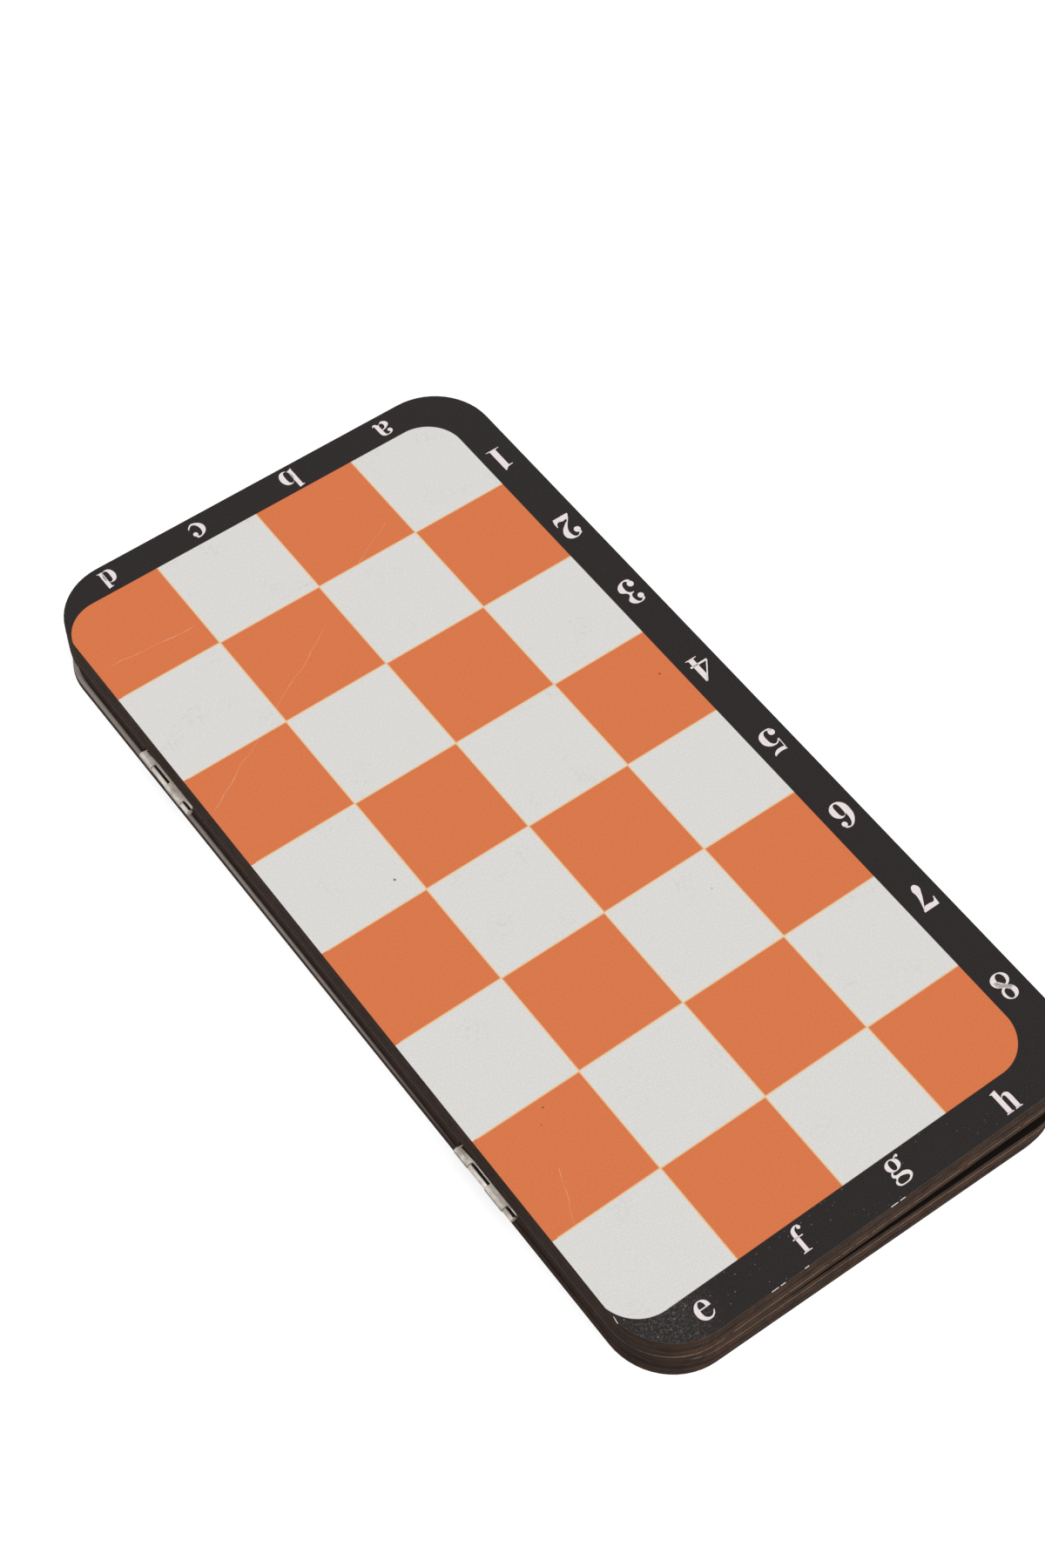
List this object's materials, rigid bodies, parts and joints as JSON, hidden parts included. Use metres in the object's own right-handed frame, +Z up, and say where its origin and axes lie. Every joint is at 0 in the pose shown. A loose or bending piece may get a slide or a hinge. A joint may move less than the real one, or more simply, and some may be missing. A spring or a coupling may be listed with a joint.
{
  "type": "folding backgammon set",
  "caption": "Thin folding box of layered fibreboard with a chess board printed outside, a backgammon board inside, small hinges, checkers and dice.",
  "frame": {"origin": "middle of the lower half's face, on the table it lies on", "axes": "+X from the hinged spine to the opening side, +Y along the spine, +Z up"},
  "size_m": [0.132, 0.2572, 0.0302],
  "materials": {
    "printed_face": "satin laminated print",
    "fibreboard": "laser-cut edge, dark brown",
    "playing_field": "satin laminated print",
    "hinge_nickel": "dull nickel plate",
    "screw_steel": "nickel plate",
    "light_checker": "satin ivory",
    "dark_checker": "satin near-black",
    "die_ivory": "polished"
  },
  "bodies": {
    "lower_half": {"base_print": "printed_face", "base_board": "fibreboard", "base_outer_ring": "fibreboard", "base_middle_ring": "fibreboard", "base_rim": "fibreboard", "base_field": "playing_field", "far_hinge_base_leaf": "hinge_nickel", "near_hinge_base_leaf": "hinge_nickel", "far_hinge_pin": "hinge_nickel", "near_hinge_pin": "hinge_nickel", "base_hinge_screws": "screw_steel"},
    "lid": {"lid_print": "printed_face", "lid_board": "fibreboard", "lid_outer_ring": "fibreboard", "lid_middle_ring": "fibreboard", "lid_rim": "fibreboard", "lid_field": "playing_field", "far_hinge_lid_leaf": "hinge_nickel", "near_hinge_lid_leaf": "hinge_nickel", "lid_hinge_screws": "screw_steel"},
    "light_set": {"light_checker_01": "light_checker", "light_checker_02": "light_checker", "light_checker_03": "light_checker", "light_checker_04": "light_checker", "light_checker_05": "light_checker", "light_checker_06": "light_checker", "light_checker_07": "light_checker", "light_checker_08": "light_checker", "light_checker_09": "light_checker", "light_checker_10": "light_checker", "light_checker_11": "light_checker", "light_checker_12": "light_checker", "light_checker_13": "light_checker", "light_checker_14": "light_checker", "light_checker_15": "light_checker"},
    "dark_set": {"dark_checker_01": "dark_checker", "dark_checker_02": "dark_checker", "dark_checker_03": "dark_checker", "dark_checker_04": "dark_checker", "dark_checker_05": "dark_checker", "dark_checker_06": "dark_checker", "dark_checker_07": "dark_checker", "dark_checker_08": "dark_checker", "dark_checker_09": "dark_checker", "dark_checker_10": "dark_checker", "dark_checker_11": "dark_checker", "dark_checker_12": "dark_checker", "dark_checker_13": "dark_checker", "dark_checker_14": "dark_checker", "dark_checker_15": "dark_checker"},
    "first_die": {"die_1": "die_ivory"},
    "second_die": {"die_2": "die_ivory"}
  },
  "joints": [
    {"name": "lid_hinge", "type": "hinge", "parent": "lower_half", "child": "lid", "pos_m": [-0.06705, 0, 0.0102], "axis": [0, -1, 0], "range_deg": [0, 175.6]},
    {"name": "light_lift", "type": "slide", "parent": "lower_half", "child": "light_set", "axis": [0, 0, 1], "range_m": [0, 0.009]},
    {"name": "dark_lift", "type": "slide", "parent": "lower_half", "child": "dark_set", "axis": [0, 0, 1], "range_m": [0, 0.009]},
    {"name": "first_die_lift", "type": "slide", "parent": "lower_half", "child": "first_die", "axis": [0, 0, 1], "range_m": [0, 0.009]},
    {"name": "second_die_lift", "type": "slide", "parent": "lower_half", "child": "second_die", "axis": [0, 0, 1], "range_m": [0, 0.009]}
  ]
}
